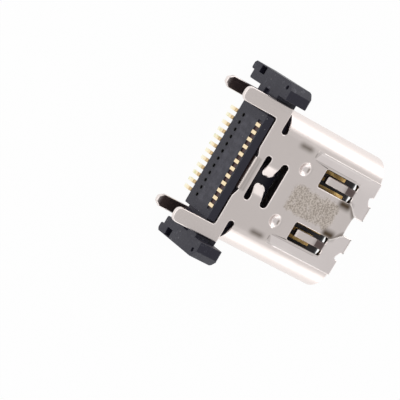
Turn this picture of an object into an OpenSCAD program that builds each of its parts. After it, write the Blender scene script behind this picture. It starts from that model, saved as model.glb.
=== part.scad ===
// Upright usb-c socket with 24 contacts: a folded steel shell over a moulded base
// that stands on a circuit board. All lengths are in millimetres.
// x runs along the contact rows, y is the height above the board and points out of
// the mouth, and z is normal to the wide faces. The board is the plane y = 0.
// "Front" means towards the mouth and "back" means towards the board.

/* [Shell] */
// Width of the plug opening
mouth_w = 8.34; // [8.28:0.02:8.4]
// Thickness of the plug opening, between the two wide faces
mouth_h = 2.56; // [2.5:0.02:2.6]
// Thickness of the steel sheet
sheet = 0.32; // [0.26:0.01:0.34]
// Height of the mouth above the board
mouth_y = 9.6; // [9.5:0.05:11]
// Height at which the flat webs begin
web_y = 0.67; // [0.62:0.01:0.7]
// Length of the flat webs behind the relief slits
web_len = 0.76; // [0.7:0.01:0.8]
// Width of the relief slits between the webs and the folded sides
slit_w = 0.42; // [0.3:0.02:0.5]
// Width of the seam along the back face
seam = 0.04; // [0.02:0.01:0.08]

/* [Legs] */
// Distance between the centre lines of the two arms, and of the two legs
leg_spread = 8.22; // [8.1:0.02:8.3]
// Width of the two front arms
arm_w = 0.94; // [0.8:0.02:0.96]
// Reach of the two arms past the board plane
arm_reach = 2.12; // [1.2:0.02:3]
// Radius on the corners of the arm ends
arm_r = 0.38; // [0.1:0.02:0.4]
// Width of the two back legs
leg_w = 0.8; // [0.6:0.02:0.9]
// Reach of the two legs past the board plane
leg_reach = 1.9; // [1.2:0.05:3]
// Width left at the tip of each leg
leg_tip_w = 0.36; // [0.2:0.02:0.5]
// Length of the tapered tip of each leg
leg_taper = 0.34; // [0.2:0.02:0.6]

/* [Windows and springs] */
// Distance between the centre lines of the two windows
window_spread = 3.7; // [3.6:0.02:3.8]
// Width of a window
window_w = 1.24; // [1.1:0.02:1.3]
// Length of a window
window_len = 2.65; // [2.2:0.05:2.8]
// Distance from the mouth to the windows
window_setback = 1.32; // [1.26:0.02:1.5]
// Width of the spring finger in each window
spring_w = 0.5; // [0.4:0.02:0.6]
// Gap left at the free end of the finger
spring_end_gap = 0.5; // [0.3:0.05:0.7]
// Distance that the finger dips below its sheet
spring_dip = 0.27; // [0.1:0.01:0.32]

/* [Latch cut-out] */
// Length of the cut-out across the face
latch_span = 2.93; // [2.6:0.02:3.1]
// Width of the back slot
latch_back_slot = 0.42; // [0.3:0.01:0.45]
// Width of a tongue at its root
latch_tongue_w = 0.84; // [0.7:0.02:0.9]
// Width of the front slot
latch_front_slot = 0.52; // [0.4:0.02:0.56]
// Gap between the tips of the two tongues
latch_tip_gap = 0.56; // [0.4:0.02:0.8]
// Distance that each tongue bends into the base
latch_dip = 0.42; // [0.2:0.02:0.44]

/* [Dimples] */
// Distance between the centres of the two dimples on a face
dimple_spread = 3.58; // [3.3:0.02:3.8]
// Distance from the mouth to the dimples
dimple_setback = 5.32; // [5.1:0.02:5.4]
// Diameter of a dimple at the outer surface
dimple_d = 0.96; // [0.8:0.02:1]
// Depth of a dimple
dimple_depth = 0.2; // [0.1:0.01:0.22]

/* [Raised rims at the mouth] */
// Height of the raised ribs and wings above the wide face
rim_rise = 0.12; // [0.08:0.01:0.14]
// Inner edge of a rib from the centre line
rib_in = 2.56; // [2.5:0.01:2.7]
// Outer edge of a rib from the centre line
rib_out = 3.2; // [3.05:0.01:3.25]
// Distance from the mouth to the back end of a rib
rib_setback = 5.14; // [4.6:0.02:5.2]
// Inner edge of a wing from the centre line
wing_in = 0.63; // [0.5:0.01:0.7]
// Distance that the wings stand past the mouth
wing_reach = 0.14; // [0.05:0.01:0.2]
// Distance from the mouth to the recessed centre of the rim
recess_depth = 0.52; // [0.4:0.02:0.7]
// Distance of the bites in the rim from the centre line
bite_x = 1.93; // [1.8:0.01:2.05]
// Width of the bites in the rim
bite_w = 0.5; // [0.34:0.02:0.54]
// Depth of the bites behind the mouth
bite_depth = 0.3; // [0.24:0.02:0.5]

/* [Base] */
// Width of the base flange between the arms
flange_w = 7.1; // [6.9:0.02:7.16]
// Height of the base flange above the board
flange_len = 0.54; // [0.5:0.01:0.6]
// Depth of the plug space behind the mouth
cavity_depth = 6.35; // [6.3:0.01:6.38]
// Clearance between the necks of the ears and the sheet
neck_gap = 0.03; // [0.02:0.01:0.3]
// Height of the necks above the board
neck_len = 1.6; // [1.2:0.05:1.6]
// Clearance between the ears and the arms
ear_gap = 0.27; // [0.2:0.01:0.5]
// Width of one ear
ear_w = 1.1; // [1:0.02:1.2]
// Height of the ears above the board
ear_len = 1.65; // [1.2:0.05:1.7]
// Thickness of the ears, across the wide faces
ear_h = 4.8; // [4.4:0.05:5.2]
// Bevel on the front outer edge of each ear
ear_bevel = 0.46; // [0.2:0.02:0.6]
// Step of the hook on the back edge of each ear
hook = 0.34; // [0.2:0.02:0.5]

/* [Tongue] */
// Width of the tongue over the mid plate
tongue_w = 6.69; // [6.5:0.01:6.8]
// Thickness of the tongue between its contacts
tongue_h = 0.7; // [0.68:0.01:0.8]
// Distance from the mouth to the tip of the tongue
tongue_setback = 0.6; // [0.5:0.02:0.8]
// Width of the thick root of the tongue
root_w = 6.86; // [6.8:0.02:7.0]
// Thickness of the root of the tongue
root_h = 1.24; // [1.2:0.01:1.3]
// Length of the root in front of the base
root_len = 1.3; // [1.1:0.05:1.5]

/* [Contacts] */
// Distance between neighbouring contacts
pitch = 0.5; // [0.48:0.01:0.5]
// Width of a contact
contact_w = 0.23; // [0.2:0.01:0.26]
// Thickness of a contact
contact_t = 0.15; // [0.1:0.01:0.16]
// Distance from the tongue tip to the long contacts
long_setback = 0.36; // [0.36:0.01:0.6]
// Distance from the tongue tip to the short contacts
short_setback = 0.8; // [0.7:0.01:1.2]
// Reach of the back row's feet past the base
tail_reach = 0.92; // [0.5:0.02:1.2]
// Distance that the feet stand past the board side of the base
foot_proud = 0.03; // [0:0.01:0.05]

/* [Hidden] */
$fn = 48;
COUNT = 12;
ROWS = ["a", "b"];
function contact_name(row, i) = str("contact_", ROWS[row], i + 1);

STEEL = [0.78, 0.75, 0.73];
PLATE_STEEL = [0.62, 0.62, 0.63];
BLACK = [0.16, 0.16, 0.19];
GOLD = [0.87, 0.71, 0.38];

fit = 0.01;           // moulded-in clearance on each side of an insert
slip = 0.03;          // sliding clearance between the base and the shell
flush = 0.006;        // how far the flange stays below the wide faces
over = 0.5;           // how far a cutter runs past a free surface

shell_w = mouth_w + 2 * sheet;
shell_h = mouth_h + 2 * sheet;
top_z = shell_h / 2;                  // outer wide face
under_z = mouth_h / 2;                // inner wide face
mid_z = top_z - sheet / 2;            // middle of the sheet
flat_x = (shell_w - shell_h) / 2;     // half of the flat part of a wide face
slit_y = web_y + web_len + slit_w / 2;
side_y = slit_y + slit_w / 2;         // back edge of the folded sides
slit_x = flat_x + 0.3;                // centre of a slit's round inner end
leg_x = leg_spread / 2;
web_x = leg_x + arm_w / 2;            // half of the web's full width

window_y1 = mouth_y - window_setback;
window_y0 = window_y1 - window_len;
window_r = 0.14;
latch_y0 = web_y + web_len;
latch_y1 = latch_y0 + latch_back_slot;
latch_y2 = latch_y1 + latch_tongue_w;
latch_y3 = latch_y2 + latch_front_slot;
latch_root = 0.28;                    // flat root of a latch tongue
dimple_y = mouth_y - dimple_setback;
wing_y = mouth_y + wing_reach;
recess_y = mouth_y - recess_depth;
rib_y = mouth_y - rib_setback;
rib_ramp = 0.22;                      // length of the ramp at the back end of a rib
tab_x = 1.05;                         // half width of the tab on the front web
tab_y = web_y + 0.08;                 // back face of the tab
tab_z = 0.72;                         // lower end of the tab
tab_r = 0.18;                         // bend radius of the tab at mid sheet
tab_bend_y = tab_y + sheet / 2 + tab_r;
tab_notch_x = tab_x + 0.57;           // outer end of the relief notch beside the tab
tab_notch_depth = 0.18;
tab_notch_r = 0.12;

base_y = mouth_y - cavity_depth;      // front face of the base, the floor of the plug space
neck_h = mouth_h - 2 * neck_gap;
neck_y = 0.2;
ear_in = web_x + ear_gap;             // inner face of an ear
ear_x = ear_in + ear_w;               // half of the width over both ears
socket_wall = 0.07;                   // wall left outside the blind socket of an ear
socket_w = 0.46;
socket_z = 1.12;                      // edge of the socket nearest to the middle
socket_h = 0.62;
socket_depth = 0.8;
dot_r = 0.13;
dot_depth = 0.15;
dot_in = 0.41;                        // from the outer face of an ear to its mould mark
dot_up = 0.52;                        // from the front face of an ear to its mould mark
rib_gap = 0.06;                       // between an arm and the rib that guides it
ear_rib_len = 1;
rib_z = [0.35, 1.45];
foot_z = [-0.8, -0.2];                // foot of the neck, on the board
edge_r = 0.08;                        // small chamfers on the ears
end_cut = 0.11;                       // chamfer round the front end of an ear
tip_y = mouth_y - tongue_setback;
root_y = 1.32;                        // back face of the tongue core inside the base
blade_w = tongue_w - 0.28;
plate_t = 0.12;
plate_y = [root_y + 0.2, tip_y - 0.34];
notch_len = 1;                        // side notches of the tongue, where a plug's latch grips
notch_back = 1.55;                    // from the tip of the tongue to a side notch
latch_notch = [tip_y - notch_back - notch_len, tip_y - notch_back];
latch_notch_x = tongue_w / 2 - 0.48;
tie_x = 2.1;
tie_w = 0.7;
tie_len = 0.45;
pad_t = 0.1;
pad_w = 5.8;

contact_z = tongue_h / 2 - contact_t / 2 + fit;   // middle of a contact on the tongue
nose_len = 0.25;                                  // bent-in nose of a contact
nose_dip = 0.07;
jog_y = 0.33;                                     // where a contact turns outwards
foot_y = contact_t / 2 - foot_proud;              // middle of a foot's thickness
front_foot_z = [1.02, 1.48];                      // step and end of a front-row foot
step_gap = 0.17;                                  // from the wide face to a back-row step
step_r = 0.1;                                     // bend radius of a back-row step
probe_z = -0.78;                                  // row of round probe holes
probe_r = 0.11;
trench_z = [0.93, 1.4];
trench_x = 3.04;
trench_depth = 0.08;

function unit(v) = v / norm(v);
function left(v) = [-v.y, v.x];
function mitre(path, i) =
    let (
        back = i == 0 ? unit(path[1] - path[0]) : unit(path[i] - path[i - 1]),
        ahead = i == len(path) - 1 ? back : unit(path[i + 1] - path[i]),
        m = unit(left(back) + left(ahead))
    )
    m / (m * left(back));
function offset_path(path, d) = [for (i = [0:len(path) - 1]) path[i] + d * mitre(path, i)];
function lengthened(path, d) =
    let (n = len(path) - 1)
    [for (i = [0:n])
        i == 0 ? path[0] + d * unit(path[0] - path[1])
        : i == n ? path[n] + d * unit(path[n] - path[n - 1])
        : path[i]];
function reversed(list) = [for (i = [len(list) - 1:-1:0]) list[i]];
function arc(centre, r, from, to, steps) =
    [for (k = [0:steps]) let (a = from + (to - from) * k / steps) centre + r * [cos(a), sin(a)]];

// A plain block between two corners, given as a span on each axis.
module span(x, y, z) {
    translate([x[0], y[0], z[0]])
        cube([x[1] - x[0], y[1] - y[0], z[1] - z[0]]);
}

module both_ends() {
    for (turn = [0, 1]) mirror([turn, 0, 0]) children();
}

module both_faces() {
    for (turn = [0, 1]) mirror([0, 0, turn]) children();
}

// A flat outline in the x-y plane, raised between two levels.
module plate(z) {
    translate([0, 0, z[0]]) linear_extrude(z[1] - z[0]) children();
}

// An outline in the x-z plane, run between two heights above the board.
module column(y) {
    translate([0, y[1], 0]) rotate([90, 0, 0]) linear_extrude(y[1] - y[0]) children();
}

// A strip of sheet that follows a path in the y-z plane and is centred on x = 0.
module strip(path, thick, width) {
    rotate([90, 0, 90])
        linear_extrude(width, center = true)
            polygon(concat(offset_path(path, thick / 2), reversed(offset_path(path, -thick / 2))));
}

module stadium(w, h) {
    square([w - h, h], center = true);
    for (end = [-1, 1]) translate([end * (w - h) / 2, 0]) circle(h / 2);
}

module rounded(x, y, r) {
    translate([x[0] + r, y[0]]) square([x[1] - x[0] - 2 * r, y[1] - y[0]]);
    translate([x[0], y[0] + r]) square([x[1] - x[0], y[1] - y[0] - 2 * r]);
    for (cx = [x[0] + r, x[1] - r], cy = [y[0] + r, y[1] - r]) translate([cx, cy]) circle(r);
}

module fillet(r) {
    difference() {
        square(r);
        translate([r, r]) circle(r);
    }
}

// ---- shell ----------------------------------------------------------------

// Outline of the web with its round relief ends, for one half of a wide face.
module web_outline() {
    difference() {
        union() {
            translate([-fit, web_y]) square([web_x - 0.14 + fit, web_len]);
            rounded([web_x - 0.6, web_x], [web_y, web_y + web_len], 0.14);
            translate([web_x - 0.6, web_y]) square([0.6, web_len / 2]);
            translate([-fit, web_y + web_len / 2]) square([slit_x + fit, web_len / 2 + slit_w]);
            translate([-fit, slit_y]) square([flat_x + fit, slit_w]);
        }
        translate([slit_x, slit_y]) circle(slit_w / 2);
    }
}

// Relief beside the tab, so that it can fold down: round at the tab and sloping away.
module tab_notch() {
    polygon(concat(
        [[tab_notch_x, web_y - over], [tab_x, web_y - over]],
        arc([tab_x + tab_notch_r, web_y + tab_notch_depth - tab_notch_r], tab_notch_r, 180, 50, 6),
        [[tab_notch_x, web_y]]
    ));
}

module arm_outline() {
    rounded([leg_x - arm_w / 2, leg_x + arm_w / 2], [-arm_reach, web_y + web_len / 2], arm_r);
    translate([leg_x - arm_w / 2, 0]) square([arm_w, web_y + 0.1]);
    translate([leg_x - arm_w / 2, web_y]) rotate(180) fillet(0.16);
}

module leg_outline() {
    polygon([
        [leg_x - leg_w / 2, web_y + 0.1],
        [leg_x - leg_w / 2, leg_taper - leg_reach],
        [leg_x - leg_tip_w / 2, -leg_reach],
        [leg_x + leg_tip_w / 2, -leg_reach],
        [leg_x + leg_w / 2, leg_taper - leg_reach],
        [leg_x + leg_w / 2, web_y + 0.1]
    ]);
    translate([leg_x - leg_w / 2, web_y]) rotate(180) fillet(0.16);
}

// The edge of a wing runs in an S from the window's front corner to the recess.
function wing_edge() =
    let (x0 = window_spread / 2 - window_w / 2, y0 = window_y1, x1 = wing_in, y1 = recess_y + 0.08)
    [for (k = [0:8]) let (u = k / 8) [x0 + (x1 - x0) * (1 - cos(180 * u)) / 2, y0 + (y1 - y0) * u]];

module wing_outline() {
    difference() {
        polygon(concat(
            wing_edge(),
            [
                [wing_in, wing_y - 0.08],
                [wing_in + 0.08, wing_y],
                [bite_x - bite_w / 2 - 0.08, wing_y],
                [bite_x - bite_w / 2, wing_y - 0.08],
                [bite_x, mouth_y],
                [rib_out, mouth_y],
                [rib_out, window_y1]
            ]
        ));
        bite_outline();
    }
}

// A layer of the wide face that slopes up over the height of the rims between two y.
module rising(y, z) {
    front = wing_y + over;
    high = [z[0] + rim_rise, z[1] + rim_rise];
    rotate([90, 0, 90]) linear_extrude(rib_out) polygon([
        [y[0], z[0]], [y[1], high[0]], [front, high[0]],
        [front, high[1]], [y[1], high[1]], [y[0], z[1]]
    ]);
}

// The part of a layer that is pushed outwards: a wing that rises towards the mouth, and
// a rib that rises towards the side and has a ramp at its back end.
module raised(z) {
    intersection() {
        plate([z[0], z[1] + rim_rise]) wing_outline();
        rising([window_y1, mouth_y], z);
    }
    intersection() {
        column([rib_y, mouth_y]) polygon([
            [rib_in, z[0]], [rib_out, z[0] + rim_rise], [rib_out, z[1] + rim_rise], [rib_in, z[1]]
        ]);
        rising([rib_y, rib_y + rib_ramp], z);
    }
}

// A bite is deepest at its outer end.
module bite_outline() {
    x = [bite_x - bite_w / 2, bite_x + bite_w / 2];
    polygon(concat(
        [[x[0], wing_y + over], [x[0], mouth_y - bite_depth * 0.3]],
        arc([x[1] - 0.1, mouth_y - bite_depth + 0.1], 0.1, -120, 0, 6),
        [[x[1], wing_y + over]]
    ));
}

// Everything that is punched through a wide face, for one half of it.
module punched_outline() {
    translate([-fit, recess_y]) square([wing_in + fit, recess_depth + over]);
    bite_outline();
    rounded(
        [window_spread / 2 - window_w / 2, window_spread / 2 + window_w / 2],
        [window_y0, window_y1],
        window_r
    );
}

// Two slots with round ends, joined between the roots of the tongues.
module latch_outline() {
    for (y = [[latch_y0, latch_y1], [latch_y2, latch_y3]])
        rounded([-latch_span / 2, latch_span / 2], y, (y[1] - y[0]) / 2 - fit);
    translate([latch_root - latch_span / 2, latch_y1 - 0.1])
        square([latch_span - 2 * latch_root, latch_tongue_w + 0.2]);
}

// A dovetail in the middle keeps the two edges of the seam together.
module seam_outline() {
    tail = [base_y + 0.3, base_y + 1.1];
    path = [
        [0, web_y - over], [0, tail[0]], [0.3, tail[0] - 0.12], [0.3, tail[1] + 0.12],
        [0, tail[1]], [0, mouth_y + over]
    ];
    polygon(concat(offset_path(path, seam / 2), reversed(offset_path(path, -seam / 2))));
}

module tube() {
    column([side_y, mouth_y]) difference() {
        stadium(shell_w, shell_h);
        stadium(shell_w - 2 * sheet, shell_h - 2 * sheet);
    }
}

// Dimple tool: a ball whose cap has the dimple's diameter and depth.
module dimple_ball(wall) {
    r = (dimple_d * dimple_d / 4 + dimple_depth * dimple_depth) / (2 * dimple_depth);
    translate([dimple_spread / 2, dimple_y, top_z - dimple_depth + r]) sphere(r + wall);
}

module dimple_bump() {
    intersection() {
        dimple_ball(sheet * 0.8);
        span([0, flat_x], [dimple_y - 0.7, dimple_y + 0.7], [under_z - dimple_depth, mid_z]);
    }
}

module spring() {
    path = [
        [window_y1 + 0.1, mid_z],
        [window_y1 - 0.05, mid_z],
        [window_y1 - 0.45, mid_z - spring_dip],
        [window_y0 + spring_end_gap + 0.25, mid_z - spring_dip],
        [window_y0 + spring_end_gap, mid_z - spring_dip * 0.8]
    ];
    translate([window_spread / 2, 0, 0]) strip(path, sheet, spring_w);
}

module latch_tongue() {
    tip = latch_tip_gap / 2;
    root = latch_span / 2;
    path = [
        [root + 0.1, mid_z],
        [root - latch_root - 0.02, mid_z],
        [root - latch_root - 0.24, mid_z - latch_dip * 0.22],
        [tip, mid_z - latch_dip]
    ];
    intersection() {
        translate([0, (latch_y1 + latch_y2) / 2, 0])
            rotate([0, 0, -90]) strip(path, sheet, latch_tongue_w);
        plate([0, shell_h]) rounded([tip, root + over], [latch_y1, latch_y2], 0.3);
    }
}

module tab() {
    bend = arc([tab_bend_y, mid_z - tab_r], tab_r, 90, 180, 6);
    path = concat([[tab_bend_y + 0.1, mid_z]], bend, [[tab_bend_y - tab_r, tab_z]]);
    strip(path, sheet, 2 * tab_x);
}

module shell() {
    color(STEEL) {
        difference() {
            union() {
                tube();
                both_faces() both_ends() plate([under_z, top_z]) web_outline();
                both_ends() plate([under_z, top_z]) arm_outline();
                both_ends() plate([-top_z, -under_z]) leg_outline();
                both_faces() both_ends() dimple_bump();
                both_faces() both_ends() raised([under_z, top_z]);
            }
            both_faces() both_ends() raised([under_z - over, under_z]);
            both_faces() both_ends() plate([under_z - over, top_z + over]) punched_outline();
            both_faces() both_ends() dimple_ball(0);
            plate([0, top_z + over]) latch_outline();
            plate([-top_z - over, 0]) seam_outline();
            both_ends() plate([0, top_z + over]) tab_notch();
            // The edge where the tab folds down
            span([-tab_x, tab_x], [web_y - over, tab_bend_y], [0, top_z + over]);
        }
        both_faces() both_ends() spring();
        both_ends() latch_tongue();
        tab();
    }
}

// ---- contacts ---------------------------------------------------------------

function contact_x(i) = (i - (COUNT - 1) / 2) * pitch;
// Ground and power contacts, at the ends and a third of the way in, reach further.
function is_long(i) = min(i, COUNT - 1 - i) % 3 == 0;
function contact_tip(i) = tip_y - (is_long(i) ? long_setback : short_setback);

// The middle line of a contact, from its nose to the end of its foot. Row 0 faces
// front (z above 0) and row 1 faces back.
function contact_path(row, i) =
    let (face = row == 0 ? 1 : -1, z = face * contact_z)
    concat(
        [[contact_tip(i), z - face * nose_dip], [contact_tip(i) - nose_len, z], [jog_y, z]],
        row == 0 ? front_foot_path() : back_foot_path()
    );
function front_foot_path() =
    [[jog_y, front_foot_z[0]], [foot_y, front_foot_z[0]], [foot_y, front_foot_z[1]]];
// A back-row contact leaves through the wall of the base and steps down to the board.
function back_foot_path() =
    let (step_z = -(top_z + step_gap))
    concat(
        arc([jog_y - step_r, step_z + step_r], step_r, 0, -90, 3),
        arc([foot_y + step_r, step_z - step_r], step_r, 90, 180, 3),
        [[foot_y, -(top_z + tail_reach)]]
    );

module contact_bar(row, i, grow) {
    translate([contact_x(i), 0, 0])
        strip(lengthened(contact_path(row, i), grow), contact_t + 2 * grow, contact_w + 2 * grow);
}

module all_contacts(grow) {
    for (row = [0, 1], i = [0:COUNT - 1]) contact_bar(row, i, grow);
}

module contact(row, i) {
    color(GOLD) contact_bar(row, i, 0);
}

// ---- tongue -----------------------------------------------------------------

module mid_plate_outline(grow) {
    x = tongue_w / 2 + grow;
    difference() {
        translate([-x, plate_y[0] - grow]) square([2 * x, plate_y[1] - plate_y[0] + 2 * grow]);
        both_ends() translate([latch_notch_x + grow, latch_notch[0] + grow])
            square([1, latch_notch[1] - latch_notch[0] - 2 * grow]);
        for (tx = [-tie_x, 0, tie_x], ty = [base_y - 0.9, tip_y - 1.6])
            translate([tx, ty]) square([tie_w - 2 * grow, tie_len - 2 * grow], center = true);
    }
}

module mid_plate() {
    color(PLATE_STEEL) plate([-plate_t / 2, plate_t / 2]) mid_plate_outline(0);
}

module pad_block(grow) {
    span(
        [-pad_w / 2 - grow, pad_w / 2 + grow],
        [base_y + 0.1 - grow, base_y + root_len - 0.15 + grow],
        [root_h / 2 - pad_t - grow, root_h / 2 + (grow > 0 ? over : 0)]
    );
}

module ground_pad_upper() {
    color(PLATE_STEEL) pad_block(0);
}

module ground_pad_lower() {
    color(PLATE_STEEL) mirror([0, 0, 1]) pad_block(0);
}

module tongue_core() {
    nose_r = tongue_h / 2;
    color(BLACK) difference() {
        union() {
            span([-root_w / 2, root_w / 2], [root_y, base_y + root_len], [-root_h / 2, root_h / 2]);
            span([-blade_w / 2, blade_w / 2], [base_y + root_len - 0.2, tip_y - nose_r], [-nose_r, nose_r]);
            // Round nose of the blade
            intersection() {
                translate([0, tip_y - nose_r, 0]) rotate([0, 90, 0])
                    cylinder(h = blade_w, r = nose_r, center = true);
                plate([-nose_r, nose_r])
                    rounded([-blade_w / 2, blade_w / 2], [tip_y - 2, tip_y], 0.3);
            }
        }
        plate([-plate_t / 2 - fit, plate_t / 2 + fit]) mid_plate_outline(fit);
        both_ends() span(
            [latch_notch_x, tongue_w], latch_notch, [-tongue_h, tongue_h]
        );
        both_faces() pad_block(fit);
        all_contacts(fit);
    }
}

// ---- base -------------------------------------------------------------------

// Outline of one ear seen from the board: a bevelled corner and a hooked end.
module ear_outline() {
    z = ear_h / 2;
    hook_x = ear_x - ear_w / 2;
    polygon([
        [ear_in, edge_r - z], [ear_in + edge_r, -z], [hook_x, -z], [hook_x, edge_r - z - hook],
        [hook_x + edge_r, -z - hook], [ear_x - 2 * edge_r, -z - hook], [ear_x, 2 * edge_r - z - hook],
        [ear_x, z - ear_bevel], [ear_x - ear_bevel, z], [ear_in, z]
    ]);
}

// The block of an ear, with the edges of its front end cut off.
module ear_block() {
    z = [-ear_h / 2 - hook, ear_h / 2];
    y = [ear_len - end_cut, ear_len];
    intersection() {
        column([0, ear_len]) ear_outline();
        plate([-ear_h, ear_h]) polygon([
            [0, 0], [ear_x, 0], [ear_x, y[0]], [ear_x - end_cut, y[1]], [0, y[1]]
        ]);
        rotate([90, 0, 90]) linear_extrude(ear_x) polygon([
            [0, z[0]], [y[0], z[0]], [y[1], z[0] + end_cut], [y[1], z[1] - end_cut], [y[0], z[1]], [0, z[1]]
        ]);
    }
}

module ear() {
    difference() {
        ear_block();
        // Blind socket and round mould mark in the board side
        span(
            [ear_x - socket_wall - socket_w, ear_x - socket_wall],
            [-over, socket_depth], [-socket_z - socket_h, -socket_z]
        );
        translate([ear_x - dot_in, 0, ear_h / 2 - dot_up]) rotate([90, 0, 0])
            cylinder(h = 2 * dot_depth, r = dot_r, center = true);
    }
    // Rib that guides the edge of the arm, and the foot of the neck
    span([web_x + rib_gap, ear_in + fit], [0, ear_rib_len], rib_z);
    span([web_x - edge_r, ear_in + fit], [0, neck_y + fit], foot_z);
}

module base_housing() {
    core_w = shell_w - 2 * sheet - 2 * slip;
    core_h = shell_h - 2 * sheet - 2 * slip;
    color(BLACK) difference() {
        union() {
            column([0, flange_len])
                rounded([-flange_w / 2, flange_w / 2], [flush - top_z, top_z - flush], 0.1);
            column([flange_len - 0.1, base_y]) stadium(core_w, core_h);
            span([-ear_in, ear_in], [neck_y, neck_len], [-neck_h / 2, neck_h / 2]);
            both_ends() ear();
        }
        // Seat of the tongue core
        span(
            [-root_w / 2 - fit, root_w / 2 + fit], [root_y - fit, base_y + over],
            [-root_h / 2 - fit, root_h / 2 + fit]
        );
        // Pocket under the latch tongues, and the slot for the tab
        span(
            [-latch_span / 2 - 0.1, latch_span / 2 + 0.1], [latch_y0 - 0.05, latch_y3 + 0.05],
            [under_z - latch_dip - 0.12, top_z]
        );
        span(
            [-tab_x - slip, tab_x + slip], [flange_len, latch_y0],
            [tab_z - slip, top_z]
        );
        // Trench behind the front feet
        span([-trench_x, trench_x], [-over, trench_depth], trench_z);
        for (i = [0:COUNT - 1])
            column([-over, jog_y - contact_t / 2 - fit])
                translate([contact_x(i), probe_z]) circle(probe_r);
        all_contacts(fit);
    }
}

// ---- nodes ------------------------------------------------------------------

shell();
base_housing();
tongue_core();
mid_plate();
ground_pad_upper();
ground_pad_lower();
for (row = [0, 1], i = [0:COUNT - 1])
    contact(row, i);
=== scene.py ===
"""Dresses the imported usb-c socket: rounded metal and plastic pieces over the CAD nodes, and a plain pale stage."""

import math

import bmesh
import bpy
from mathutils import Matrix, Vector


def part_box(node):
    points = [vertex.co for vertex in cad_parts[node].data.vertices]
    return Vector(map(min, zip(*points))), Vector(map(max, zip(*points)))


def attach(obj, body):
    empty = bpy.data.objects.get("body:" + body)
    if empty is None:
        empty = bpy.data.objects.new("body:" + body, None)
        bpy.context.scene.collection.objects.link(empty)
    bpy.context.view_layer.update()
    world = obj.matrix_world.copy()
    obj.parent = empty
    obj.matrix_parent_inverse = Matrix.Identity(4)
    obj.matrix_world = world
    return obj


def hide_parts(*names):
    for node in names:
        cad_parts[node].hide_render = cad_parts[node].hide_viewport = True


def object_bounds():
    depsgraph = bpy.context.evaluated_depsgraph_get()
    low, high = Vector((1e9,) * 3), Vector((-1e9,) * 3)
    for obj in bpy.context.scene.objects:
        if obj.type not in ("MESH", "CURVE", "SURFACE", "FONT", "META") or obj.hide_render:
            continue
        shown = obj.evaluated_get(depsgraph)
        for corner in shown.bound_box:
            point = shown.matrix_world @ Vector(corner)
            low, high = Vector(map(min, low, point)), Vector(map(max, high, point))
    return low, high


bl_info = {
    "name": "Usb-c socket finish",
    "version": (1, 0, 0),
    "blender": (4, 5, 0),
    "location": "3D View > Sidebar > Socket",
    "description": "Rounded edges, metals, plastics and gold for an upright usb-c socket",
    "category": "Object",
}

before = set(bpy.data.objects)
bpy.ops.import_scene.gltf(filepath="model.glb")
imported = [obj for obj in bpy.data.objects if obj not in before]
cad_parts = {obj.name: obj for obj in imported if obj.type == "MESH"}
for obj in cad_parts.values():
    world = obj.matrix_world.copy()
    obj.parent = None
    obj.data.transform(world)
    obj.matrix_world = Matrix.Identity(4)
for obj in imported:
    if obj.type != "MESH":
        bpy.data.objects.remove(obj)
CAD_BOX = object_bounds()

MM = 0.001
BODY = "root"
CONTACTS = sorted(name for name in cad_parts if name.startswith("contact_"))
FLOOR_Z = CAD_BOX[0].z
SHELL_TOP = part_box("shell")[1]

MERGE_WITHIN = 0.0005 * MM
FLAT_WITHIN = 0.0003 * MM
REFILL_FROM = 5  # faces in one flat
ROUND_ABOVE = math.radians(35.0)  # turn of an edge
SMOOTH_BELOW = math.radians(40.0)  # turn between two flats
ROOM_NEEDED = 1.6  # width of a flat, in radii of the round beside it


# ---- sizes and colours ------------------------------------------------------


def length(name, description, millimetres):
    return bpy.props.FloatProperty(
        name=name, description=description, default=millimetres * MM, min=0.0, precision=6, unit="LENGTH"
    )


def colour(name, description, red, green, blue):
    return bpy.props.FloatVectorProperty(
        name=name, description=description, default=(red, green, blue), min=0.0, max=1.0, subtype="COLOR"
    )


def share(name, description, value, top=1.0):
    return bpy.props.FloatProperty(name=name, description=description, default=value, min=0.0, max=top)


class SocketShellSettings(bpy.types.PropertyGroup):
    edge_round: length("Edge round", "Radius on the sheared edges of the sheet", 0.075)
    steel: colour("Steel", "Colour of the nickel-plated sheet", 0.88, 0.80, 0.77)
    # edge steel: a painted highlight along the rounded cut edges and the ridge lines
    bright: colour("Edge steel", "Colour of the burnished edges", 0.97, 0.91, 0.88)
    # lit steel: a painted highlight on the wings, the ribs and the dimples
    lit: colour("Lit steel", "Colour of the burnished wings and dimples", 1.0, 0.92, 0.90)
    # this colour is painted shade: the brown shade behind the ribs, at the window corners and in the dimples
    painted_shade: colour("Stain", "Colour of the drawn-out tool marks", 0.12, 0.085, 0.055)
    shade: colour("Shaded steel", "Colour of the steel that only sees dark things", 0.095, 0.058, 0.055)
    sand: colour("Matte patch", "Colour of the pale grains of the matte patch", 0.73, 0.66, 0.60)
    sand_dark: colour("Matte patch grain", "Colour of the dark grains of the matte patch", 0.39, 0.33, 0.28)
    gloss: share("Roughness", "Roughness of the plated sheet", 0.3)


class SocketPlasticSettings(bpy.types.PropertyGroup):
    edge_round: length("Edge round", "Radius on the moulded edges", 0.035)
    black: colour("Plastic", "Colour of the filled black plastic", 0.017, 0.016, 0.028)
    # rubbed edge: rubbed wear and a painted highlight along the edges, and the colour of the scuffs on the ears
    worn: colour("Rubbed edge", "Colour of the plastic where an edge is rubbed", 0.11, 0.11, 0.135)
    pale: colour("Pale streaks", "Colour of the streaks on the board face", 0.05, 0.048, 0.066)
    # this colour is painted shade with a warm reflection of the gold, between the front pads
    pad_gap_shade: colour("Trench", "Colour of the film left between the front pads", 0.07, 0.03, 0.028)
    # this colour is painted shade round the mouths of the probe holes
    hole: colour("Probe hole", "Colour of the mouths of the probe holes", 0.001, 0.001, 0.001)
    dust: colour("Dust", "Colour of the specks of dust", 0.5, 0.5, 0.5)
    grain: length("Grain", "Size of the moulded grain", 0.05)
    gloss: share("Roughness", "Roughness of the plastic", 0.42)


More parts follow.
